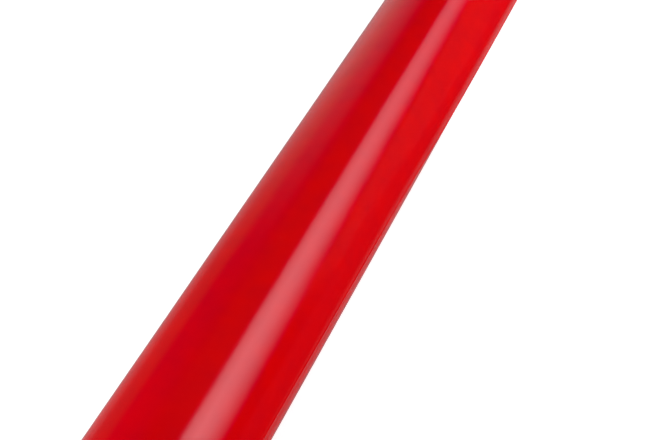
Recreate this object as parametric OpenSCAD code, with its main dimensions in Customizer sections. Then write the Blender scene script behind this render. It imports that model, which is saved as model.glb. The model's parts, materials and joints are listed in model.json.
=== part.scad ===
// Roll of coated background paper on a cardboard core, with push-in core plugs and a free end that lifts.
// The roll's axis is X with the origin on it at mid-width, and +Z is up.
// Angles round the roll are measured from the top, +Z, towards the front, -Y.

/* [Sheet] */
// Width of the sheet, along the roll
sheet_w = 660; // [400:10:1400]
// Length of the sheet wound on the core
sheet_len = 11000; // [6000:500:20000]
// Thickness of the sheet
sheet_t = 0.2; // [0.15:0.01:0.25]
// Slack under the outer turn where it lies closest to the pack
turn_slack = 0.2; // [0.15:0.05:0.4]

/* [Free end] */
// Where the sheet's free edge lies round the roll
edge_angle = 95; // [80:1:110]
// Arc of each strip of the free end
strip_arc = 12; // [8:1:14]
// Slack under the free end
end_slack = 0.5; // [0.4:0.1:0.8]
// Gap at the seam between two strips
seam_gap = 0.1; // [0.05:0.01:0.2]
// Gap between the free edge and the outer turn's other end, which comes out from under it
edge_gap = 1; // [0.5:0.1:2]

/* [Core] */
// Bore of the core
core_bore_d = 57; // [50:0.5:70]
// Wall of the core
core_wall = 3; // [2:0.5:5]
// How far the core stands out of the paper at each end
core_proud = 5; // [2:1:20]

/* [Start tape] */
// Length of the tape round the core
tape_round = 50; // [25:1:75]
// Thickness of the tape
tape_t = 0.15; // [0.1:0.01:0.2]
// How far the tape stops short of the sheet's sides
tape_short = 10; // [2:1:50]

/* [Core plugs] */
// Crossbar hole through each plug
bar_hole_d = 36; // [28:0.5:40]
// Wall of the hub round the crossbar hole
hub_wall = 2.5; // [2:0.25:3.5]
// Length of the barrel inside the core
barrel_len = 30; // [20:1:45]
// Wall of the barrel
barrel_wall = 2; // [1.5:0.25:2.5]
// Radial clearance of the barrel in the core
barrel_clear = 0.05; // [0.03:0.01:0.09]
// Chamfer that leads the barrel into the core
lead_in = 1.5; // [0.5:0.25:1.75]
// Flange outside the core's end
flange_d = 62; // [58:0.5:63]
// Thickness of the flange
flange_t = 3; // [2:0.5:4]
// Chamfer on the flange's outer edge
flange_chamfer = 0.8; // [0.4:0.1:1.2]
// Number of ribs between the hub and the barrel
rib_count = 8; // [4:1:12]
// Thickness of a rib
rib_t = 1.8; // [1.5:0.1:2.5]
// How far the ribs and the hub stop short of the flange's face
rib_set_back = 1; // [0.5:0.25:2]
// Depth of the pockets between the ribs
pocket_depth = 14; // [6:1:18]
// Thickness of the web at the bottom of the pockets
web_t = 2; // [1.5:0.25:3]

/* [Hidden] */
STRIPS = 9;
$fn = 180;

core_len = sheet_w + 2 * core_proud;
core_bore_r = core_bore_d / 2;
core_r = core_bore_r + core_wall;
tape_arc = tape_round / core_r * 180 / PI;
// All the turns but the outer one, from the area that their edge covers.
pack_r = sqrt(core_r * core_r + sheet_len * sheet_t / PI) - sheet_t;
// The tape and its pocket keep this far apart.
pocket_clear = 0.05;
// The outer turn is an arc whose centre lies a little towards the free end's root, so its slack grows.
root_angle = edge_angle - STRIPS * strip_arc;
turn_shift = (end_slack - turn_slack) / 2;
turn_r = pack_r + turn_slack + turn_shift;
turn_arc = 360 - STRIPS * strip_arc;
end_r = pack_r + end_slack;
seam_arc = seam_gap / end_r * 180 / PI;
edge_arc = edge_gap / end_r * 180 / PI;

barrel_r = core_bore_r - barrel_clear;
hub_r = bar_hole_d / 2 + hub_wall;
// Half a wall, so that ribs and web run into the walls that they join.
bite = barrel_wall / 2;
rib_len = barrel_len + flange_t - rib_set_back;

PAPER_RED = [0.82, 0.0, 0.02];
TURN_RED = [0.78, 0.0, 0.03];
KRAFT = [0.66, 0.52, 0.36];
TAPE = [0.80, 0.70, 0.50];
BLACK = [0.10, 0.10, 0.11];

// Lays what is built along Z along X, with its angle 0 at the given angle round the roll.
module along_x(angle = 0)
    rotate([0, 90, 0])
        rotate([0, 0, 180 + angle])
            children();

// A curved strip as wide as w, from radius r outwards by t, over an arc from one angle on.
module curved_strip(r, t, w, from, arc)
    along_x(from)
        rotate_extrude(angle = arc)
            translate([r, -w / 2])
                square([t, w]);

// A ring centred on the origin, along Z.
module ring(r_out, r_in, from, to)
    translate([0, 0, from])
        difference() {
            cylinder(r = r_out, h = to - from);
            translate([0, 0, -1])
                cylinder(r = r_in, h = to - from + 2);
        }

module core_tube()
    color(KRAFT)
        along_x()
            ring(core_r, core_bore_r, -core_len / 2, core_len / 2);

module start_tape()
    color(TAPE)
        curved_strip(core_r, tape_t, sheet_w - 2 * tape_short, 0, tape_arc);

module paper_pack()
    color(PAPER_RED)
        difference() {
            along_x()
                ring(pack_r, core_r, -sheet_w / 2, sheet_w / 2);
            curved_strip(
                core_r - 1, 1 + tape_t + pocket_clear, sheet_w - 2 * tape_short + 2 * pocket_clear,
                -pocket_clear, tape_arc + 2 * pocket_clear
            );
        }

module outer_turn()
    color(TURN_RED)
        translate([0, -turn_shift * sin(root_angle), turn_shift * cos(root_angle)])
            curved_strip(
                turn_r, sheet_t, sheet_w,
                edge_angle + edge_arc - 360, turn_arc - edge_arc - seam_arc
            );

// Strip i of the free end, counted from its root, where the sheet leaves the pack.
module free_end(i)
    color(PAPER_RED)
        curved_strip(end_r, sheet_t, sheet_w, root_angle + (i - 1) * strip_arc, strip_arc - seam_arc);

// Barrel with its lead-in chamfer, along Z up to the flange at 0.
module barrel()
    rotate_extrude()
        polygon([
            [barrel_r - barrel_wall, -barrel_len],
            [barrel_r - lead_in, -barrel_len],
            [barrel_r, -barrel_len + 2 * lead_in],
            [barrel_r, 0],
            [barrel_r - barrel_wall, 0]
        ]);

// Flange with its outer edge chamfered, on top of the barrel.
module flange()
    rotate_extrude()
        polygon([
            [barrel_r - barrel_wall, 0],
            [flange_d / 2, 0],
            [flange_d / 2, flange_t - flange_chamfer],
            [flange_d / 2 - flange_chamfer, flange_t],
            [barrel_r - barrel_wall, flange_t]
        ]);

module ribs()
    for (i = [0:rib_count - 1])
        rotate([0, 0, (i + 0.5) * 360 / rib_count])
            translate([hub_r - bite, -rib_t / 2, -barrel_len])
                cube([barrel_r - barrel_wall - hub_r + 2 * bite, rib_t, rib_len]);

// Plug along Z, with the core's end at 0 and its flange above it.
module core_plug()
    color(BLACK)
        union() {
            barrel();
            flange();
            ring(hub_r, bar_hole_d / 2, -barrel_len, flange_t - rib_set_back);
            ring(barrel_r - bite, hub_r - bite, -pocket_depth - web_t, -pocket_depth);
            ribs();
        }

module core_plug_right()
    rotate([0, 90, 0])
        translate([0, 0, core_len / 2])
            core_plug();

module core_plug_left()
    rotate([0, -90, 0])
        translate([0, 0, core_len / 2])
            core_plug();

core_tube();
start_tape();
paper_pack();
outer_turn();
core_plug_left();
core_plug_right();
for (i = [1:STRIPS])
    free_end(i);
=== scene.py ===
import json
import math

import bmesh
import bpy
import numpy as np
from mathutils import Matrix, Vector


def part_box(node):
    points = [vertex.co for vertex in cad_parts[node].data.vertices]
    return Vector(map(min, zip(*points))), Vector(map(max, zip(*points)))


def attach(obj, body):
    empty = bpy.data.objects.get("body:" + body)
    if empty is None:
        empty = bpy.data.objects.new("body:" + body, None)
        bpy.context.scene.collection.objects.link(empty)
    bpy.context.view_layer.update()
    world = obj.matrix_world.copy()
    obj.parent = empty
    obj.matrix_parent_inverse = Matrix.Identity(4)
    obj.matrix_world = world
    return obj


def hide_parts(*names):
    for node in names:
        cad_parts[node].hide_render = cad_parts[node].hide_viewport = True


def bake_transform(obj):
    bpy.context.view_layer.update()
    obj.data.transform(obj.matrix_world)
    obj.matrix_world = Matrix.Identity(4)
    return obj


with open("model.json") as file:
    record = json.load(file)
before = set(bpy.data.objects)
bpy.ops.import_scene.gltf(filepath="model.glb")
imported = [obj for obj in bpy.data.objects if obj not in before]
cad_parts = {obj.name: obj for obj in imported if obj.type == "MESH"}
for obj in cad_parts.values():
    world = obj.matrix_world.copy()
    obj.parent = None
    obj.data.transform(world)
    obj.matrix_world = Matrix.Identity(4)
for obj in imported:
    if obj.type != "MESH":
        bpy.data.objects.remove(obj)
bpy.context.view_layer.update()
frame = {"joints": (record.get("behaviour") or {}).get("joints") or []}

# Lengths are metres, in the part's own frame: the roll's axis is X and +Z is up.
# Angles round the roll are radians from the top, +Z, towards the front, -Y.
MM = 0.001

# Camera: 55 mm lens, looking down on the middle of the roll, with the roll's far end to the upper right.
SENSOR_MM = 36
LENS_MM = 55.4
CAMERA_PITCH = math.radians(49.70)
CAMERA_HEADING = math.radians(24.77)
EYE_ANGLE = math.radians(20.72)
EYE_RADII = 12.34
EYE_X = -0.40
CLIP_START = 0.01
CLIP_END = 50

# The sheet, from the hinges of its free end: they lie on its outer face.
PEEL = [j for j in frame["joints"] if j["name"].startswith("free_end_peel")]
HINGES = [Vector(j["pos_m"]) for j in PEEL]
STRIPS = [j["child"] for j in PEEL]
SHEET_R = math.hypot(HINGES[0].y, HINGES[0].z)
HINGE_ANGLES = [math.atan2(-h.y, h.z) for h in HINGES]
ROOT_ANGLE = HINGE_ANGLES[0]
STRIP_ARC = HINGE_ANGLES[1] - HINGE_ANGLES[0]
HALF_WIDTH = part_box("paper_pack")[1].x
SHEET_T = 0.2 * MM
# How far the visible sheet's sides stop short of the CAD's.
SHEET_INSET = 0.3 * MM
SHEET_COLUMNS = 132
# Rows of faces round the last turn, over one strip's bend, and over the free end's last stretch.
TURN_ROWS = 190
BEND_ROWS = 8
LAST_ROWS = 64

# The free edge lies a little askew: it is at EDGE_FAR from this share of the half width on.
EDGE_NEAR = math.radians(79.5)
EDGE_FAR = math.radians(92.5)
EDGE_FAR_SHARE = 0.8
# The last millimetres before the edge stand up and turn down again.
CREASE = 1.3 * MM
CREASE_HEIGHT = 0.22 * MM
# Where it begins to stand up and where its top is, in lengths of CREASE before the edge, and then the share
# of its height by which it turns down.
CREASE_BEGINS = 2.0
CREASE_TOP = 0.9
CREASE_DROP = 0.9

# The free end springs off the turn below: a little over its near half, more over its far half. The lift
# grows between these places along the roll, and eases a little further on and again towards the edge.
LIFT_NEAR = 0.35 * MM
LIFT_FAR = 1.85 * MM
LIFT_GROWS_X = (-0.02, 0.09)
LIFT_EASES_X = (0.12, 0.33)
LIFT_EASES_BY = 0.2
LIFT_SAGS_BY = 0.15
# How far before the edge the lift begins, and where it is whole.
LIFT_FROM = math.radians(46)
LIFT_TO = math.radians(16)

# A faint unevenness. Its waves: (radians per metre along the roll, per radian round it, phase, share).
UNEVEN = 0.018 * MM
UNEVEN_WAVES = ((41, 1.3, 0, 1.0), (23, -2.1, 1, 0.7), (67, 3.3, 0, 0.5))

# Fine lines along the strip of the turn below that shows past the free edge.
LINES_BEGIN = (math.radians(-300), math.radians(-290))
LINES_END = math.radians(-200)
LINE_HEIGHT = 0.012 * MM
LINE_LENGTH = 0.30 * MM
LINE_SLANT = 9

# How the last turn lies: it starts under the root of the free end, and spirals outwards.
TURN_START = ROOT_ANGLE - math.radians(367)
TURN_RISE = 0.22 * MM / math.radians(252)

# The wound pack. PACK_GAP is from its outside to the sheet's outer face. Turns stand in or out by a random
# walk with this step and limit. TURN_SHARES are places across a turn: its groove, and both sides of its flat.
TURNS = 47
POINTS_PER_TURN = 120
PACK_SEED = 7
PACK_CLEAR = 0.02 * MM
PACK_GAP = 0.54 * MM
PACK_INSET = 0.45 * MM
TURN_STEP = 0.05 * MM
TURN_LIMIT = 0.2 * MM
TURN_GROOVE = 0.05 * MM
TURN_SHARES = (0.0, 0.22, 0.78)
# The tables of offsets and tones run on past the last turn by this many.
SPARE_TURNS = 3

# The core: a spiral-wound board tube. SEAM_LEAD is how far its seams advance in each turn.
CORE_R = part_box("core_tube")[1].z
CORE_WALL = 3 * MM
CORE_BORE_R = CORE_R - CORE_WALL
CORE_AROUND = 180
CORE_PLIES = 6
PLY_GROOVE = 0.06 * MM
SEAM_LEAD = 105 * MM
SEAM_DEPTH = 0.12 * MM
SEAM_WIDTH = 0.9 * MM
# How far round the inner seam lies from the outer one, as a share of a turn.
INNER_SEAM = 0.4
ROLLED_LIP = 0.12 * MM
# The stretches at each end that can be seen, outside and in the bore, with their numbers of rings.
CORE_SHOWN = (9 * MM, 24)
BORE_SHOWN = (34 * MM, 60)
# Where the rings of the hidden stretch lie, as shares of the half length.
CORE_HIDDEN = (0.6, 0.2)

# The end plugs, measured from the core's end, outwards.
BAR_R = 18 * MM
HUB_R = 20.5 * MM
BARREL_BORE_R = 26.45 * MM
BARREL_CLEAR = 0.05 * MM
PLUG_LEN = 30 * MM
LEAD_IN = 1.5 * MM
WEB_TOP = -14 * MM
WEB_T = 2 * MM
FLANGE_T = 3 * MM
FLANGE_CHAMFER = 0.8 * MM
PLUG_SOFT = 0.35 * MM
PLUG_EASED = 0.5 * MM
PLUG_ROUND = 0.6 * MM
PLUG_FILLET = 0.8 * MM
PLUG_AROUND = 144
# Edges sharper than this many degrees stay sharp.
CORE_SHARP = 40
PLUG_SHARP = 35
RIB_TOP = 2 * MM
RIB_T = 1.8 * MM
RIB_COUNT = 8
RIB_BITE = 1.6 * MM
RIB_SET_BACK = 0.4 * MM
# A rib's top is this share of its thickness at the bottom.
RIB_DRAFT = 0.86
RIB_BEVEL = 0.35 * MM
GATE_R = (1.3 * MM, 1.0 * MM)
GATE_HEIGHT = 1.0 * MM
GATE_RISE = 0.1 * MM

# Colours.
FACE_REDS = ((0.60, 0.0, 0.003, 1), (0.66, 0.0, 0.001, 1))
FACE_SPECK = (0.8, 0.12, 0.12, 1)
BACK_REDS = ((0.46, 0.006, 0.01, 1), (0.58, 0.02, 0.025, 1))
EDGE_REDS = ((0.62, 0.03, 0.03, 1), (0.78, 0.15, 0.12, 1))
TURN_REDS = ((0.36, 0.003, 0.006, 1), (0.56, 0.012, 0.014, 1))
TURN_FIBRE = (0.70, 0.07, 0.06, 1)
TURN_DUST = (0.62, 0.16, 0.14, 1)
KRAFT = ((0.27, 0.17, 0.095, 1), (0.46, 0.33, 0.21, 1))
KRAFT_MOTTLE = (0.36, 0.27, 0.19, 1)
KRAFT_FLECK = (0.13, 0.08, 0.05, 1)
CREAM = ((0.62, 0.53, 0.36, 1), (0.76, 0.68, 0.50, 1))
PLUG_BLACKS = ((0.014, 0.014, 0.016, 1), (0.028, 0.028, 0.030, 1))
PLUG_SCUFF = (0.09, 0.09, 0.095, 1)
WHITE = (1, 1, 1, 1)

# The soft box: how far it is from the roll's axis, how far along it reaches, and the stretch over which its
# angles round the axis and its glow go from the first value to the second. Its profile runs from the upper
# edge down, as (share of the way, share of the glow).
SOFT_BOX_DISTANCE = 1.2
SOFT_BOX_X = (-1.2, 2.6)
SOFT_BOX_ENDS_X = (0.3, 1.5)
SOFT_BOX_UPPER = (math.radians(17), math.radians(9.8))
SOFT_BOX_LOWER = (math.radians(74), math.radians(51))
SOFT_BOX_GLOW = (7.4, 3.0)
SOFT_BOX_PROFILE = (
    (0.0, 0.03), (0.05, 0.13), (0.1, 0.48), (0.15, 0.72), (0.24, 0.85), (0.36, 0.98),
    (0.57, 0.8), (0.79, 0.36), (0.92, 0.1), (1.0, 0.0),
)
SOFT_BOX_ROWS = 40
SOFT_BOX_COLUMNS = 38
# Taken off its green everywhere, so that it fades out through crimson.
SOFT_BOX_GREEN_LOSS = 0.55

# The floor. Its glow to the camera grows from FLOOR_GLOW to 1 between two distances from the roll's middle. In
# reflections it is dark in front of the roll, paler close to it and beneath it, and it fades out behind it.
FLOOR_HALF_SIZE = 8.0
FLOOR_GLOW = 0.72
FLOOR_GLOW_REACH = (0.3, 1.6)
FLOOR_SEEN = (0.7, 0.7, 0.7, 1)
FLOOR_IN_GLOSS = ((0.02, 0.01, 0.02, 1), (0.50, 0.48, 0.49, 1))
FLOOR_PALES_Y = (-0.092, -0.056)
FLOOR_FADES_Y = (0.04, 0.4)

# The world. WORLD_FILL is its even light. In reflections it glows only behind the roll, by direction: dim,
# with a brighter wall towards the far end. High up and towards that end, green is taken off, so that it
# fades out through crimson, as the roll's rim does in the photograph.
WORLD_FILL = 0.35
WALL_GLOW = 0.6
WALL_REST = 0.17
WALL_BEHIND_Y = (0.16, 0.6)
WALL_X = (0.48, 0.78)
WALL_GREEN_LOSS = 0.22
CRIMSON_X = (0.1, 0.3)
CRIMSON_Z = (0.15, 0.45)

# The fill lights, as (name, direction, distance, size, power).
FILL_LIGHTS = (
    ("overhead_fill", (0.85, -0.15, 1), 1.9, 1.8, 10),
    ("front_fill", (1.55, -1.3, 0.15), 2.0, 1.4, 66),
    ("back_fill", (-0.8, 0.7, 0.4), 1.1, 0.8, 8.5),
)


def smoothstep(a, b, x):
    """0 up to a, 1 from b on, and smooth between them."""
    t = np.clip((x - a) / (b - a), 0, 1)
    return t * t * (3 - 2 * t)


def add_camera():
    """The photograph's view of the roll."""
    data = bpy.data.cameras.new("camera")
    data.sensor_width = SENSOR_MM
    data.lens = LENS_MM
    data.clip_start = CLIP_START
    data.clip_end = CLIP_END
    camera = bpy.data.objects.new("camera", data)
    bpy.context.scene.collection.objects.link(camera)
    distance = EYE_RADII * SHEET_R
    camera.location = (EYE_X, -distance * math.sin(EYE_ANGLE), distance * math.cos(EYE_ANGLE))
    flat = math.cos(CAMERA_PITCH)
    forward = Vector(
        (flat * math.cos(CAMERA_HEADING), flat * math.sin(CAMERA_HEADING), -math.sin(CAMERA_PITCH))
    )
    camera.rotation_euler = forward.to_track_quat("-Z", "Y").to_euler()
    bpy.context.scene.camera = camera


# ---- materials ----


class Nodes:
    """A material's node tree, with short calls that add a node and link its inputs."""

    def __init__(self, name):
        self.material = bpy.data.materials.new(name)
        self.material.use_nodes = True
        self.tree = self.material.node_tree
        self.shader = self.tree.nodes["Principled BSDF"]

    def add(self, kind, values=(), links=(), **settings):
        node = self.tree.nodes.new(kind)
        for key, value in settings.items():
            setattr(node, key, value)
        for socket, value in dict(values).items():
            node.inputs[socket].default_value = value
        for socket, source in dict(links).items():
            self.tree.links.new(source, node.inputs[socket])
        return node

    def link(self, source, socket):
        self.tree.links.new(source, self.shader.inputs[socket])

    def noise(self, where, scale, detail=4.0, roughness=0.55):
        node = self.add(
            "ShaderNodeTexNoise",
            {"Scale": scale, "Detail": detail, "Roughness": roughness},
            {"Vector": where},
        )
        return node.outputs["Fac"]

    def ramp(self, value, low, high, out_low, out_high):
        node = self.add(
            "ShaderNodeMapRange",
            {"From Min": low, "From Max": high, "To Min": out_low, "To Max": out_high},
            {"Value": value},
        )
        return node.outputs["Result"]

    def math(self, operation, a, b):
        """Either value may be a number or a socket."""
        node = self.add("ShaderNodeMath", operation=operation)
        for i, value in enumerate((a, b)):
            self.fill(node.inputs[i], value)
        return node.outputs["Value"]

    def fill(self, socket, value):
        if isinstance(value, bpy.types.NodeSocket):
            self.tree.links.new(value, socket)
        else:
            socket.default_value = value

    def mix(self, factor, a, b):
        """A mix of two colours. Each value may be a constant or a socket."""
        node = self.add("ShaderNodeMix", data_type="RGBA")
        colours = [s for s in node.inputs if s.type == "RGBA"]
        self.fill([s for s in node.inputs if s.name == "Factor"][0], factor)
        self.fill([s for s in colours if s.name == "A"][0], a)
        self.fill([s for s in colours if s.name == "B"][0], b)
        return [s for s in node.outputs if s.type == "RGBA"][0]

    def bump(self, height, distance, strength=1.0, below=None):
        links = {"Height": height}
        if below is not None:
            links["Normal"] = below
        node = self.add("ShaderNodeBump", {"Distance": distance, "Strength": strength}, links)
        return node.outputs["Normal"]


def sheet_face():
    """The coated face: deep red, half-glossy, with a fine orange peel, faint mottling and a few specks."""
    m = Nodes("sheet_face")
    where = m.add("ShaderNodeUVMap", uv_map="sheet").outputs["UV"]
    mottle = m.noise(where, 55, 5)
    colour = m.mix(m.ramp(mottle, 0.35, 0.65, 0, 1), *FACE_REDS)
    specks = m.add(
        "ShaderNodeTexVoronoi", {"Scale": 70.0, "Randomness": 1.0}, {"Vector": where}
    ).outputs["Distance"]
    colour = m.mix(m.ramp(specks, 0.012, 0.02, 0.5, 0), colour, FACE_SPECK)
    m.link(colour, "Base Color")
    m.link(m.ramp(m.noise(where, 900, 3), 0.3, 0.7, 0.075, 0.11), "Roughness")
    m.shader.inputs["IOR"].default_value = 1.33
    slow = m.bump(m.noise(where, 45, 2), 0.10 * MM)
    peel = m.bump(m.noise(where, 700, 3), 0.006 * MM, 1.0, slow)
    m.link(peel, "Normal")
    return m.material


def sheet_back():
    """The uncoated back: the same red, matt and a little paler, with the paper's fibres."""
    m = Nodes("sheet_back")
    where = m.add("ShaderNodeUVMap", uv_map="sheet").outputs["UV"]
    fibres = m.noise(where, 1500, 6, 0.7)
    m.link(m.mix(m.ramp(fibres, 0.3, 0.7, 0, 1), *BACK_REDS), "Base Color")
    m.shader.inputs["Roughness"].default_value = 0.8
    m.shader.inputs["IOR"].default_value = 1.35
    m.link(m.bump(fibres, 0.03 * MM), "Normal")
    return m.material


def sheet_edge():
    """The cut edge: rough, with the paler body of the paper showing through the dye."""
    m = Nodes("sheet_edge")
    where = m.add("ShaderNodeTexCoord").outputs["Object"]
    fibres = m.noise(where, 2500, 5, 0.7)
    m.link(m.mix(m.ramp(fibres, 0.35, 0.65, 0, 1), *EDGE_REDS), "Base Color")
    m.shader.inputs["Roughness"].default_value = 0.85
    m.link(m.bump(fibres, 0.04 * MM), "Normal")
    return m.material


def pack_end():
    """The cut ends of the wound turns: matt red, each turn a little darker or paler, with fibres and dust."""
    m = Nodes("pack_end")
    where = m.add("ShaderNodeTexCoord").outputs["Object"]
    turn = m.add("ShaderNodeAttribute", attribute_name="turn").outputs["Fac"]
    fibres = m.noise(where, 2200, 5, 0.7)
    dust = m.noise(where, 60, 4)
    colour = m.mix(m.ramp(turn, 0.1, 0.9, 0, 1), *TURN_REDS)
    colour = m.mix(m.ramp(fibres, 0.35, 0.7, 0, 0.45), colour, TURN_FIBRE)
    colour = m.mix(m.ramp(dust, 0.5, 0.75, 0, 0.2), colour, TURN_DUST)
    m.link(colour, "Base Color")
    m.link(m.ramp(fibres, 0.3, 0.7, 0.75, 0.95), "Roughness")
    m.shader.inputs["IOR"].default_value = 1.35
    m.link(m.bump(fibres, 0.05 * MM), "Normal")
    return m.material


def board():
    """Grey-brown kraft board: long fibres along the wound ply, mottling, scuffs, and a dull surface."""
    m = Nodes("board")
    where = m.add("ShaderNodeTexCoord").outputs["Object"]
    along = m.add(
        "ShaderNodeMapping", {"Rotation": (0.0, 0.35, 0.5), "Scale": (0.25, 1.0, 1.0)}, {"Vector": where}
    ).outputs["Vector"]
    fibres = m.noise(along, 1400, 7, 0.7)
    mottle = m.noise(where, 130, 5)
    flecks = m.noise(where, 900, 2, 0.4)
    colour = m.mix(m.ramp(fibres, 0.3, 0.7, 0, 1), *KRAFT)
    colour = m.mix(m.ramp(mottle, 0.4, 0.7, 0, 0.5), colour, KRAFT_MOTTLE)
    colour = m.mix(m.ramp(flecks, 0.68, 0.74, 0, 0.7), colour, KRAFT_FLECK)
    m.link(colour, "Base Color")
    m.link(m.ramp(mottle, 0.3, 0.7, 0.78, 0.92), "Roughness")
    m.link(m.bump(fibres, 0.08 * MM), "Normal")
    return m.material


def tape_paper():
    """Cream paper tape, with its fine crepe."""
    m = Nodes("tape_paper")
    where = m.add("ShaderNodeTexCoord").outputs["Object"]
    across = m.add("ShaderNodeMapping", {"Scale": (0.2, 1.0, 1.0)}, {"Vector": where}).outputs["Vector"]
    crepe = m.noise(across, 1600, 4)
    m.link(m.mix(crepe, *CREAM), "Base Color")
    m.shader.inputs["Roughness"].default_value = 0.7
    m.link(m.bump(crepe, 0.05 * MM), "Normal")
    return m.material


def plug_plastic():
    """Black moulded plastic: a fine spark-eroded grain, polished here and there by handling."""
    m = Nodes("plug_plastic")
    where = m.add("ShaderNodeTexCoord").outputs["Object"]
    grain = m.noise(where, 3200, 2, 0.5)
    wear = m.noise(where, 90, 5)
    drawn = m.add("ShaderNodeMapping", {"Scale": (1.0, 0.12, 1.0)}, {"Vector": where}).outputs["Vector"]
    scuffs = m.noise(drawn, 800, 6, 0.75)
    colour = m.mix(wear, *PLUG_BLACKS)
    colour = m.mix(m.ramp(scuffs, 0.62, 0.75, 0, 0.35), colour, PLUG_SCUFF)
    m.link(colour, "Base Color")
    m.link(m.ramp(wear, 0.3, 0.7, 0.36, 0.55), "Roughness")
    m.link(m.bump(grain, 0.025 * MM), "Normal")
    return m.material


# ---- the sheet ----


def edge_angle(x):
    """Where the free edge lies at x along the roll."""
    return EDGE_NEAR + (EDGE_FAR - EDGE_NEAR) * smoothstep(-HALF_WIDTH, EDGE_FAR_SHARE * HALF_WIDTH, x)


def edge_crease(x, angle):
    """The last few millimetres before the free edge stand up a little and turn down again."""
    left = (edge_angle(x) - angle) * SHEET_R / CREASE
    stand = smoothstep(CREASE_BEGINS, CREASE_TOP, left) * (angle > 0)
    turn_down = smoothstep(CREASE_TOP, 0.0, left) * (angle > 0)
    return CREASE_HEIGHT * (stand - CREASE_DROP * turn_down)


def sheet_lift(x, angle):
    """How far the free end has sprung off the turn below."""
    edge = edge_angle(x)
    height = LIFT_NEAR + (LIFT_FAR - LIFT_NEAR) * smoothstep(*LIFT_GROWS_X, x) * (
        1 - LIFT_EASES_BY * smoothstep(*LIFT_EASES_X, x)
    )
    rise = smoothstep(edge - LIFT_FROM, edge - LIFT_TO, angle)
    return height * rise * (1 - LIFT_SAGS_BY * smoothstep(edge - LIFT_TO, edge, angle))


def sheet_radius(x, angle):
    """The radius of the sheet's outer face: the spiral, a faint unevenness, and the free end's lift."""
    spiral = SHEET_R + TURN_RISE * np.minimum(angle - ROOT_ANGLE, 0)
    uneven = UNEVEN * sum(
        share * np.sin(along * x + around * angle + phase) for along, around, phase, share in UNEVEN_WAVES
    )
    below = smoothstep(*LINES_BEGIN, angle) * (angle < LINES_END)
    lines = below * LINE_HEIGHT * np.sin(angle * SHEET_R / LINE_LENGTH + LINE_SLANT * x)
    return spiral + uneven + sheet_lift(x, angle) + lines + edge_crease(x, angle)


def on_sheet(x, angle):
    """The point of the sheet's outer face at x along the roll and at this angle."""
    r = sheet_radius(x, angle)
    return np.stack([x, -r * np.sin(angle), r * np.cos(angle)], axis=-1)


def sheet_normal(x, angle):
    """The outward normal of the sheet's outer face."""
    step = 1e-4
    along = on_sheet(x + step, angle) - on_sheet(x - step, angle)
    around = on_sheet(x, angle + step) - on_sheet(x, angle - step)
    normal = np.cross(along, around)
    outward = np.stack([0 * angle, -np.sin(angle), np.cos(angle)], axis=-1)
    normal *= np.sign((normal * outward).sum(-1, keepdims=True))
    return normal / np.linalg.norm(normal, axis=-1, keepdims=True)


def sheet_faces(rows, columns):
    """The faces of a stretch of sheet, and the kind of each: 0 its face, 1 its back, 2 its cut sides."""
    count = (columns + 1) * (rows + 1)

    def at(i, j, side):
        return side * count + i * (rows + 1) + j

    faces = []
    kinds = []
    for i in range(columns):
        for j in range(rows):
            faces.append([at(i, j, 0), at(i, j + 1, 0), at(i + 1, j + 1, 0), at(i + 1, j, 0)])
            faces.append([at(i, j, 1), at(i + 1, j, 1), at(i + 1, j + 1, 1), at(i, j + 1, 1)])
            kinds += [0, 1]
        faces.append([at(i, 0, 0), at(i + 1, 0, 0), at(i + 1, 0, 1), at(i, 0, 1)])
        faces.append([at(i, rows, 0), at(i, rows, 1), at(i + 1, rows, 1), at(i + 1, rows, 0)])
        kinds += [2, 2]
    for j in range(rows):
        faces.append([at(0, j, 0), at(0, j, 1), at(0, j + 1, 1), at(0, j + 1, 0)])
        faces.append([at(columns, j, 0), at(columns, j + 1, 0), at(columns, j + 1, 1), at(columns, j, 1)])
        kinds += [2, 2]
    return faces, kinds


def set_sheet_normals(mesh, loops, kinds, normal):
    """Normals from the formula on both faces, so that neighbouring pieces shade as one sheet."""
    smooth = normal.reshape(-1, 3)
    count = len(smooth)
    kind = np.repeat(kinds, 4)
    normals = np.repeat([[0.0, 0.0, 0.0]], len(loops), axis=0)
    normals[kind == 0] = smooth[loops[kind == 0] % count]
    normals[kind == 1] = -smooth[loops[kind == 1] % count]
    mesh.update()
    flat = np.array([p.normal[:] for p in mesh.polygons])
    normals[kind == 2] = np.repeat(flat, 4, axis=0)[kind == 2]
    mesh.normals_split_custom_set(normals.tolist())


def sheet_piece(name, start, end, rows, materials):
    """A stretch of the sheet between two angles, with its thickness. end may be a function of x."""
    xs = np.linspace(-HALF_WIDTH + SHEET_INSET, HALF_WIDTH - SHEET_INSET, SHEET_COLUMNS + 1)
    last = end(xs) if callable(end) else np.full_like(xs, end)
    share = np.linspace(0, 1, rows + 1)
    x = np.repeat(xs[:, None], rows + 1, axis=1)
    angle = start + (last[:, None] - start) * share[None, :]
    outer = on_sheet(x, angle)
    normal = sheet_normal(x, angle)
    inner = outer - SHEET_T * normal
    faces, kinds = sheet_faces(rows, SHEET_COLUMNS)

    points = np.concatenate([outer.reshape(-1, 3), inner.reshape(-1, 3)])
    mesh = bpy.data.meshes.new(name)
    mesh.from_pydata(points.tolist(), [], faces)
    mesh.polygons.foreach_set("material_index", kinds)
    mesh.polygons.foreach_set("use_smooth", [True] * len(faces))
    loops = np.array(faces).ravel()
    flat = np.stack([x.ravel(), (angle * SHEET_R).ravel()], axis=-1)
    layer = mesh.uv_layers.new(name="sheet")
    layer.data.foreach_set("uv", flat[loops % x.size].astype(np.float32).ravel())
    set_sheet_normals(mesh, loops, kinds, normal)
    piece = bpy.data.objects.new(name, mesh)
    bpy.context.scene.collection.objects.link(piece)
    for material in materials:
        mesh.materials.append(material)
    return piece


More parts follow.
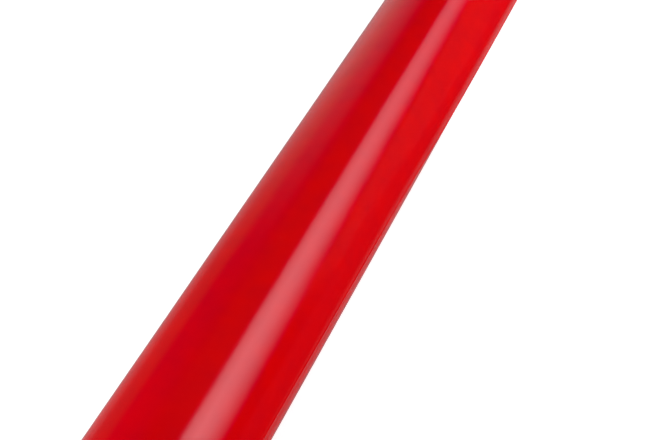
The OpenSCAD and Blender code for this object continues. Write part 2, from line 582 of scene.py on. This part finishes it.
def add_sheet(materials):
    """The last turn rides on the roll, and the free end is one stretch of sheet for each strip, spanning its
    hinge, in place of the CAD strips.
    """
    half = STRIP_ARC / 2
    turn = sheet_piece("last_turn", TURN_START, ROOT_ANGLE - half, TURN_ROWS, materials)
    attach(turn, "roll")
    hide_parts("outer_turn")
    for i, hinge in enumerate(HINGE_ANGLES):
        final = i == len(HINGE_ANGLES) - 1
        end = edge_angle if final else hinge + half
        rows = LAST_ROWS if final else BEND_ROWS
        piece = sheet_piece(f"free_end_sheet_{i + 1}", hinge - half, end, rows, materials)
        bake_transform(piece)
        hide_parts(STRIPS[i])


# ---- the wound pack, the core and the plugs ----


def new_piece(name, points, faces, materials, kinds=None):
    """An object from points and faces. kinds gives each face's material."""
    mesh = bpy.data.meshes.new(name)
    mesh.from_pydata([tuple(p) for p in points], [], faces)
    for material in materials:
        mesh.materials.append(material)
    if kinds is not None:
        mesh.polygons.foreach_set("material_index", kinds)
    mesh.update()
    piece = bpy.data.objects.new(name, mesh)
    bpy.context.scene.collection.objects.link(piece)
    return piece


def pack_points(offsets):
    """Both end faces of the spiral: its points, and where (end, step, share) is among them."""
    inner = CORE_R + PACK_CLEAR
    outer = SHEET_R - PACK_GAP
    pitch = (outer - inner) / TURNS
    last = POINTS_PER_TURN * TURNS
    points = []
    index = {}
    for end in (-1, 1):
        for n in range(last + POINTS_PER_TURN + 1):
            shift = np.interp(n / POINTS_PER_TURN, np.arange(TURNS + SPARE_TURNS), offsets)
            angle = ROOT_ANGLE + 2 * math.pi * n / POINTS_PER_TURN
            shares = TURN_SHARES if n <= last else TURN_SHARES[:1]
            for k, share in enumerate(shares):
                r = inner + pitch * (n / POINTS_PER_TURN + share)
                groove = TURN_GROOVE if k == 0 else 0.0
                index[end, n, k] = len(points)
                x = end * (HALF_WIDTH - PACK_INSET - groove) + shift
                points.append((x, -r * math.sin(angle), r * math.cos(angle)))
    return points, index


def pack_faces(index):
    """The spiral's faces, and the kind of each: 0 on its end faces, 1 round its outside and its inside."""
    last = POINTS_PER_TURN * TURNS
    faces = []
    kinds = []
    for end in (-1, 1):
        for n in range(last):
            corners = [index[end, n, k] for k in range(3)] + [index[end, n + POINTS_PER_TURN, 0]]
            following = [index[end, n + 1, k] for k in range(3)] + [index[end, n + 1 + POINTS_PER_TURN, 0]]
            for k in range(3):
                loop = (corners[k], corners[k + 1], following[k + 1], following[k])
                faces.append(loop if end < 0 else loop[::-1])
                kinds.append(0)
    for start, flip in ((0, True), (last, False)):
        around = [(n, 0) for n in range(start, start + POINTS_PER_TURN + 1)]
        step = [(start + POINTS_PER_TURN, 0), (start, 2), (start, 1), (start, 0)]
        for path in (around, step):
            for (n, k), (m, j) in zip(path, path[1:]):
                loop = (index[-1, n, k], index[1, n, k], index[1, m, j], index[-1, m, j])
                faces.append(loop[::-1] if flip else loop)
                kinds.append(1)
    return faces, kinds


def add_pack(end_material, face_material):
    """The wound turns as one closed spiral. Each end face shows every turn, a little in or out of line."""
    rng = np.random.default_rng(PACK_SEED)
    offsets = np.cumsum(rng.normal(0, TURN_STEP, TURNS + SPARE_TURNS))
    offsets = np.clip(offsets - offsets.mean(), -TURN_LIMIT, TURN_LIMIT)
    tones = rng.random(TURNS + SPARE_TURNS)
    points, index = pack_points(offsets)
    faces, kinds = pack_faces(index)
    piece = new_piece("wound_pack", points, faces, [end_material, face_material], kinds)
    shades = piece.data.attributes.new("turn", "FLOAT", "POINT")
    values = np.zeros(len(points))
    for (end, n, k), at in index.items():
        values[at] = np.interp(n / POINTS_PER_TURN, np.arange(TURNS + SPARE_TURNS), tones)
    shades.data.foreach_set("value", values)
    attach(piece, "roll")
    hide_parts("paper_pack")


def core_profile(half):
    """The tube's section as (x, radius, side): side is -1 outside, 1 in the bore and 0 on its end faces."""
    shown, rings = CORE_SHOWN
    outside = [half - shown * i / rings for i in range(rings + 1)]
    outside += [share * half for share in CORE_HIDDEN]
    shown, rings = BORE_SHOWN
    inside = [half - shown * i / rings for i in range(rings + 1)]
    inside += [share * half for share in CORE_HIDDEN]
    steps = CORE_PLIES * 3
    ply_ends = []
    for i in range(steps):
        groove = PLY_GROOVE if i % 3 == 0 and i else 0.0
        ply_ends.append(((i + 0.5) / steps, half - groove))
    wall = CORE_R - CORE_BORE_R
    profile = [(x, CORE_R, -1) for x in [-x for x in outside] + outside[::-1]]
    profile += [(x, CORE_R - wall * share, 0) for share, x in ply_ends]
    profile += [(x, CORE_BORE_R, 1) for x in inside + [-x for x in inside[::-1]]]
    profile += [(-x, CORE_BORE_R + wall * share, 0) for share, x in ply_ends]
    return profile


def add_core():
    """The board tube, of spiral-wound plies: helical seams outside and in, and ply lines at its ends."""
    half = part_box("core_tube")[1].x
    profile = core_profile(half)
    points = []
    for n in range(CORE_AROUND):
        angle = 2 * math.pi * n / CORE_AROUND
        for x, r, side in profile:
            turn = (x / SEAM_LEAD + n / CORE_AROUND + (INNER_SEAM if side > 0 else 0)) % 1
            away = min(turn, 1 - turn) * SEAM_LEAD
            depth = SEAM_DEPTH * math.exp(-((away / SEAM_WIDTH) ** 2))
            rolled = ROLLED_LIP if abs(abs(x) - half) < 1e-9 and side else 0.0
            radius = r + side * (depth + rolled)
            points.append((x, -radius * math.sin(angle), radius * math.cos(angle)))
    faces = ring_faces(CORE_AROUND, len(profile))
    piece = new_piece("core_board_tube", points, faces, [board()])
    smooth_by_angle(piece, CORE_SHARP)
    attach(piece, "roll")
    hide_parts("core_tube")


def ring_faces(around, count):
    """The faces between neighbouring copies of a closed outline of count points."""
    faces = []
    for n in range(around):
        m = (n + 1) % around
        for i in range(count):
            j = (i + 1) % count
            faces.append((n * count + i, m * count + i, m * count + j, n * count + j))
    return faces


def smooth_by_angle(piece, degrees):
    """Smooth shading, but for the edges that are sharper than this."""
    piece.data.polygons.foreach_set("use_smooth", [True] * len(piece.data.polygons))
    piece.data.set_sharp_from_angle(angle=math.radians(degrees))


def rounded(corners, steps=4):
    """A closed outline from (r, z, radius) corners, each rounded with an arc of short chords."""
    outline = []
    for i, (r, z, radius) in enumerate(corners):
        here = Vector((r, z))
        back = Vector(corners[i - 1][:2]) - here
        on = Vector(corners[(i + 1) % len(corners)][:2]) - here
        turn = (math.pi - back.angle(on)) / 2
        reach = radius * math.tan(turn)
        first = here + back.normalized() * reach
        last = here + on.normalized() * reach
        for k in range(steps + 1):
            t = k / steps
            point = (1 - t) ** 2 * first + 2 * t * (1 - t) * here + t * t * last
            outline.append((point.x, point.y))
    return outline


def lathe(outline, around):
    """A closed outline of (r, z) turned round the z axis, as points and faces."""
    points = []
    for n in range(around):
        angle = 2 * math.pi * n / around
        points += [(r * math.cos(angle), r * math.sin(angle), z) for r, z in outline]
    return points, ring_faces(around, len(outline))


def rib_shape():
    """One rib between hub and barrel, thinner towards its rounded top."""
    middle = (HUB_R + BARREL_BORE_R) / 2
    length = BARREL_BORE_R - HUB_R + RIB_BITE
    low = -PLUG_LEN + RIB_SET_BACK
    high = RIB_TOP
    rib = bmesh.new()
    bmesh.ops.create_cube(rib, size=1)
    for v in rib.verts:
        width = RIB_T * (RIB_DRAFT if v.co.z > 0 else 1.0)
        v.co = Vector((middle + v.co.x * length, v.co.y * width, (low + high) / 2 + v.co.z * (high - low)))
    top = [e for e in rib.edges if all(v.co.z > 0 for v in e.verts)]
    bmesh.ops.bevel(rib, geom=top, offset=RIB_BEVEL, segments=3, profile=0.5, affect="EDGES")
    return rib


def gate_shape():
    """The nub that the mould's gate leaves on the web."""
    wide, narrow = GATE_R
    gate = bmesh.new()
    bmesh.ops.create_cone(gate, cap_ends=True, segments=20, radius1=wide, radius2=narrow, depth=GATE_HEIGHT)
    middle = (HUB_R + BARREL_BORE_R) / 2
    bmesh.ops.translate(gate, verts=gate.verts, vec=(middle, 0, WEB_TOP + GATE_RISE))
    return gate


def plug_ribs():
    """All the ribs and the gate's nub, as one object."""
    rib = rib_shape()
    gate = gate_shape()
    copies = [(rib, (i + 0.5) * 2 * math.pi / RIB_COUNT) for i in range(RIB_COUNT)] + [(gate, 0.0)]
    points = []
    faces = []
    for shape, angle in copies:
        bmesh.ops.recalc_face_normals(shape, faces=shape.faces)
        turn = Matrix.Rotation(angle, 3, "Z")
        first = len(points)
        shape.verts.index_update()
        points += [turn @ v.co for v in shape.verts]
        faces += [[first + v.index for v in f.verts] for f in shape.faces]
    rib.free()
    gate.free()
    return new_piece("plug_ribs", points, faces, [])


def plug_outline():
    """Half the plug's section, with barrel, flange, web and hub, from (r, z, rounding) corners."""
    flange_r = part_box("core_plug_right")[1].z
    barrel_r = CORE_BORE_R - BARREL_CLEAR
    low = -PLUG_LEN
    web_low = WEB_TOP - WEB_T
    return rounded((
        (BARREL_BORE_R, low, PLUG_SOFT),
        (barrel_r - LEAD_IN, low, PLUG_SOFT),
        (barrel_r, low + 2 * LEAD_IN, 1.0 * MM),
        (barrel_r, 0.0, 0.2 * MM),
        (flange_r, 0.0, 0.3 * MM),
        (flange_r, FLANGE_T - FLANGE_CHAMFER, PLUG_EASED),
        (flange_r - FLANGE_CHAMFER, FLANGE_T, PLUG_EASED),
        (BARREL_BORE_R, FLANGE_T, PLUG_EASED),
        (BARREL_BORE_R, WEB_TOP, PLUG_FILLET),
        (HUB_R, WEB_TOP, PLUG_FILLET),
        (HUB_R, RIB_TOP, PLUG_SOFT),
        (BAR_R, RIB_TOP, PLUG_ROUND),
        (BAR_R, low, PLUG_ROUND),
        (HUB_R, low, PLUG_SOFT),
        (HUB_R, web_low, PLUG_FILLET),
        (BARREL_BORE_R, web_low, PLUG_FILLET),
    ))


def plug_mesh(material):
    """One moulded end plug along z: its turned body, joined with its ribs."""
    body = new_piece("plug_body", *lathe(plug_outline(), PLUG_AROUND), [material])
    shape = bmesh.new()
    shape.from_mesh(body.data)
    bmesh.ops.recalc_face_normals(shape, faces=shape.faces)
    shape.to_mesh(body.data)
    shape.free()
    ribs = plug_ribs()
    ribs.data.materials.append(material)
    joined = body.modifiers.new("ribs", "BOOLEAN")
    joined.operation = "UNION"
    joined.solver = "EXACT"
    joined.object = ribs
    bpy.context.view_layer.update()
    mesh = bpy.data.meshes.new_from_object(body.evaluated_get(bpy.context.evaluated_depsgraph_get()))
    for spare in (body, ribs):
        bpy.data.objects.remove(spare)
    return mesh


def add_plugs():
    """The two end plugs, each on its own body, with the flange against the core's end."""
    mesh = plug_mesh(plug_plastic())
    core_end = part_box("core_tube")[1].x
    for node, side in (("core_plug_left", -1), ("core_plug_right", 1)):
        turned = Matrix(((0, 0, side, side * core_end), (0, 1, 0, 0), (-side, 0, 0, 0), (0, 0, 0, 1)))
        copy = mesh.copy()
        copy.transform(turned)
        piece = bpy.data.objects.new(f"{node}_moulding", copy)
        bpy.context.scene.collection.objects.link(piece)
        smooth_by_angle(piece, PLUG_SHARP)
        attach(piece, node)
        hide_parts(node)


def finish_tape():
    """The start tape keeps its CAD shape, and gets its material."""
    tape = bpy.data.objects["start_tape"]
    material = tape_paper()
    for slot in tape.material_slots:
        slot.material = material


# ---- the set ----


def add_fill_light(name, direction, distance, size, power):
    """A broad light that casts soft light and isn't seen in reflections."""
    data = bpy.data.lights.new(name, "AREA")
    data.shape = "SQUARE"
    data.size = size
    data.energy = power
    light = bpy.data.objects.new(name, data)
    bpy.context.scene.collection.objects.link(light)
    towards = Vector(direction).normalized()
    light.location = towards * distance
    light.rotation_euler = towards.to_track_quat("Z", "Y").to_euler()
    light.visible_glossy = False
    light.visible_camera = False


def soft_box_mesh():
    """The soft box's face, with its glow at each point."""
    points = []
    faces = []
    glows = []
    for i in range(SOFT_BOX_COLUMNS + 1):
        x = SOFT_BOX_X[0] + (SOFT_BOX_X[1] - SOFT_BOX_X[0]) * i / SOFT_BOX_COLUMNS
        upper = np.interp(x, SOFT_BOX_ENDS_X, SOFT_BOX_UPPER)
        lower = np.interp(x, SOFT_BOX_ENDS_X, SOFT_BOX_LOWER)
        glow = np.interp(x, SOFT_BOX_ENDS_X, SOFT_BOX_GLOW)
        for j in range(SOFT_BOX_ROWS + 1):
            share = j / SOFT_BOX_ROWS
            angle = upper + (lower - upper) * share
            points.append((x, -SOFT_BOX_DISTANCE * math.sin(angle), SOFT_BOX_DISTANCE * math.cos(angle)))
            glows.append(glow * np.interp(share, *zip(*SOFT_BOX_PROFILE)))
            if i and j:
                at = i * (SOFT_BOX_ROWS + 1) + j
                faces.append((at, at - 1, at - SOFT_BOX_ROWS - 2, at - SOFT_BOX_ROWS - 1))
    mesh = bpy.data.meshes.new("soft_box")
    mesh.from_pydata(points, [], faces)
    mesh.attributes.new("glow", "FLOAT", "POINT").data.foreach_set("value", glows)
    return mesh


def add_soft_box():
    """A long soft box's face, seen only in reflections: a quick fade at its upper edge, a slow one down."""
    mesh = soft_box_mesh()
    box = bpy.data.objects.new("soft_box", mesh)
    bpy.context.scene.collection.objects.link(box)
    m = Nodes("soft_box")
    m.tree.nodes.remove(m.shader)
    strength = m.add("ShaderNodeAttribute", attribute_name="glow").outputs["Fac"]
    green = m.math("MAXIMUM", m.math("SUBTRACT", strength, SOFT_BOX_GREEN_LOSS), 0.0)
    colour = m.add("ShaderNodeCombineColor", (), {"Red": strength, "Green": green, "Blue": strength})
    glow = m.add("ShaderNodeEmission", (), {"Color": colour.outputs["Color"]})
    output = [n for n in m.tree.nodes if n.type == "OUTPUT_MATERIAL"][0]
    m.tree.links.new(glow.outputs["Emission"], output.inputs["Surface"])
    mesh.materials.append(m.material)
    box.visible_camera = False
    box.visible_diffuse = False
    box.visible_shadow = False


def floor_material():
    """Pale to the camera. In reflections it is dark in front of the roll, and gone behind it."""
    m = Nodes("floor")
    path = m.add("ShaderNodeLightPath")
    where = m.add("ShaderNodeTexCoord").outputs["Object"]
    place = m.add("ShaderNodeSeparateXYZ", (), {"Vector": where})
    in_gloss = m.mix(m.ramp(place.outputs["Y"], *FLOOR_PALES_Y, 0, 1), *FLOOR_IN_GLOSS)
    m.link(m.mix(path.outputs["Is Glossy Ray"], FLOOR_SEEN, in_gloss), "Base Color")
    behind = m.ramp(place.outputs["Y"], *FLOOR_FADES_Y, 0, 1)
    hidden = m.math("MULTIPLY", path.outputs["Is Glossy Ray"], behind)
    m.link(m.math("SUBTRACT", 1.0, hidden), "Alpha")
    away = m.add("ShaderNodeVectorMath", {}, {0: where}, operation="LENGTH").outputs["Value"]
    glow = m.ramp(away, *FLOOR_GLOW_REACH, FLOOR_GLOW, 1.0)
    m.link(m.math("MULTIPLY", path.outputs["Is Camera Ray"], glow), "Emission Strength")
    m.shader.inputs["Emission Color"].default_value = WHITE
    m.shader.inputs["Roughness"].default_value = 0.9
    m.shader.inputs["Specular IOR Level"].default_value = 0.1
    return m.material


def add_floor():
    """A plain pale floor, which the roll lies on."""
    floor_z = -float(sheet_radius(np.array(0.0), np.array(-math.pi)))
    mesh = bpy.data.meshes.new("floor")
    size = FLOOR_HALF_SIZE
    corners = [(-size, -size), (size, -size), (size, size), (-size, size)]
    mesh.from_pydata([(x, y, floor_z) for x, y in corners], [], [(0, 1, 2, 3)])
    floor = bpy.data.objects.new("floor", mesh)
    bpy.context.scene.collection.objects.link(floor)
    mesh.materials.append(floor_material())


def add_world():
    """White to the camera, and an even fill. In reflections, dim, with a wall towards the far end."""
    world = bpy.data.worlds.new("world")
    bpy.context.scene.world = world
    world.use_nodes = True
    tree = world.node_tree
    tree.nodes.clear()

    def link(source, node, socket):
        tree.links.new(source, node.inputs[socket])

    def fade(value, low, high):
        node = tree.nodes.new("ShaderNodeMapRange")
        node.interpolation_type = "SMOOTHSTEP"
        node.inputs["From Min"].default_value = low
        node.inputs["From Max"].default_value = high
        link(value, node, "Value")
        return node.outputs["Result"]

    def background(strength, colour=None):
        node = tree.nodes.new("ShaderNodeBackground")
        node.inputs["Color"].default_value = WHITE
        node.inputs["Strength"].default_value = strength
        if colour is not None:
            link(colour, node, "Color")
        return node.outputs[0]

    def math_node(operation, a, b):
        node = tree.nodes.new("ShaderNodeMath")
        node.operation = operation
        for i, value in enumerate((a, b)):
            if isinstance(value, float):
                node.inputs[i].default_value = value
            else:
                link(value, node, i)
        return node.outputs[0]

    def mix(factor, a, b):
        node = tree.nodes.new("ShaderNodeMixShader")
        link(factor, node, "Fac")
        link(a, node, 1)
        link(b, node, 2)
        return node.outputs[0]

    towards = tree.nodes.new("ShaderNodeSeparateXYZ")
    link(tree.nodes.new("ShaderNodeTexCoord").outputs["Generated"], towards, "Vector")
    behind = fade(towards.outputs["Y"], *WALL_BEHIND_Y)
    wall = math_node("MULTIPLY", fade(towards.outputs["X"], *WALL_X), WALL_GLOW)
    level = math_node("MULTIPLY", math_node("ADD", wall, WALL_REST), behind)
    towards_end = fade(towards.outputs["X"], *CRIMSON_X)
    high_up = fade(towards.outputs["Z"], *CRIMSON_Z)
    crimson = math_node("MULTIPLY", towards_end, high_up)
    loss = math_node("MULTIPLY", crimson, WALL_GREEN_LOSS)
    green = math_node("MAXIMUM", math_node("SUBTRACT", level, loss), 0.0)
    colour = tree.nodes.new("ShaderNodeCombineColor")
    for value, socket in ((level, "Red"), (green, "Green"), (level, "Blue")):
        link(value, colour, socket)

    path = tree.nodes.new("ShaderNodeLightPath")
    fill = mix(path.outputs["Is Glossy Ray"], background(WORLD_FILL), background(1.0, colour.outputs[0]))
    seen = mix(path.outputs["Is Camera Ray"], fill, background(1.0))
    out = tree.nodes.new("ShaderNodeOutputWorld")
    link(seen, out, "Surface")


def add_set():
    """The floor, the world and the lights."""
    add_floor()
    add_world()
    add_soft_box()
    for light in FILL_LIGHTS:
        add_fill_light(*light)
    bpy.context.scene.view_settings.view_transform = "Standard"


add_camera()
SHEET_FACE = sheet_face()
add_sheet([SHEET_FACE, sheet_back(), sheet_edge()])
add_pack(pack_end(), SHEET_FACE)
add_core()
add_plugs()
finish_tape()
add_set()
